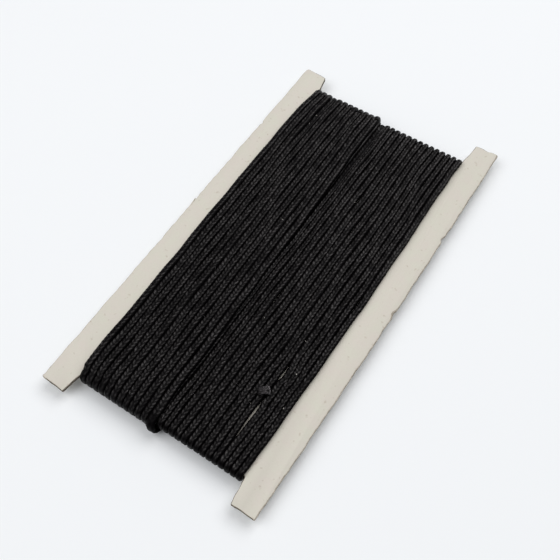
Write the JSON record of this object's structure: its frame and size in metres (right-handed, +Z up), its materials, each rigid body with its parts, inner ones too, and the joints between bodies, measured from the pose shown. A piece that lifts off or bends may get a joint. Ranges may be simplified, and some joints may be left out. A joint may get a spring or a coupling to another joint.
{
  "type": "card of braided cord",
  "caption": "Flat H-shaped greyboard card with black braided cord wound lengthwise round its waist through the end notches, partly in a second layer.",
  "frame": {"origin": "on the surface the card lies on, under the middle of the card", "axes": "+X across the card towards the single-layer side, +Y along the card towards its far end in the picture, +Z up"},
  "size_m": [0.1, 0.191, 0.0116],
  "materials": {
    "greyboard": "matt grey-beige pulp board with faint flecks and a darker cut edge",
    "black_braid": "near-black braided polyester cord, soft low sheen"
  },
  "bodies": {
    "root": {"card": "greyboard", "cord_winding": "black_braid", "cord_end": "black_braid", "cord_tail": "black_braid"}
  },
  "joints": []
}
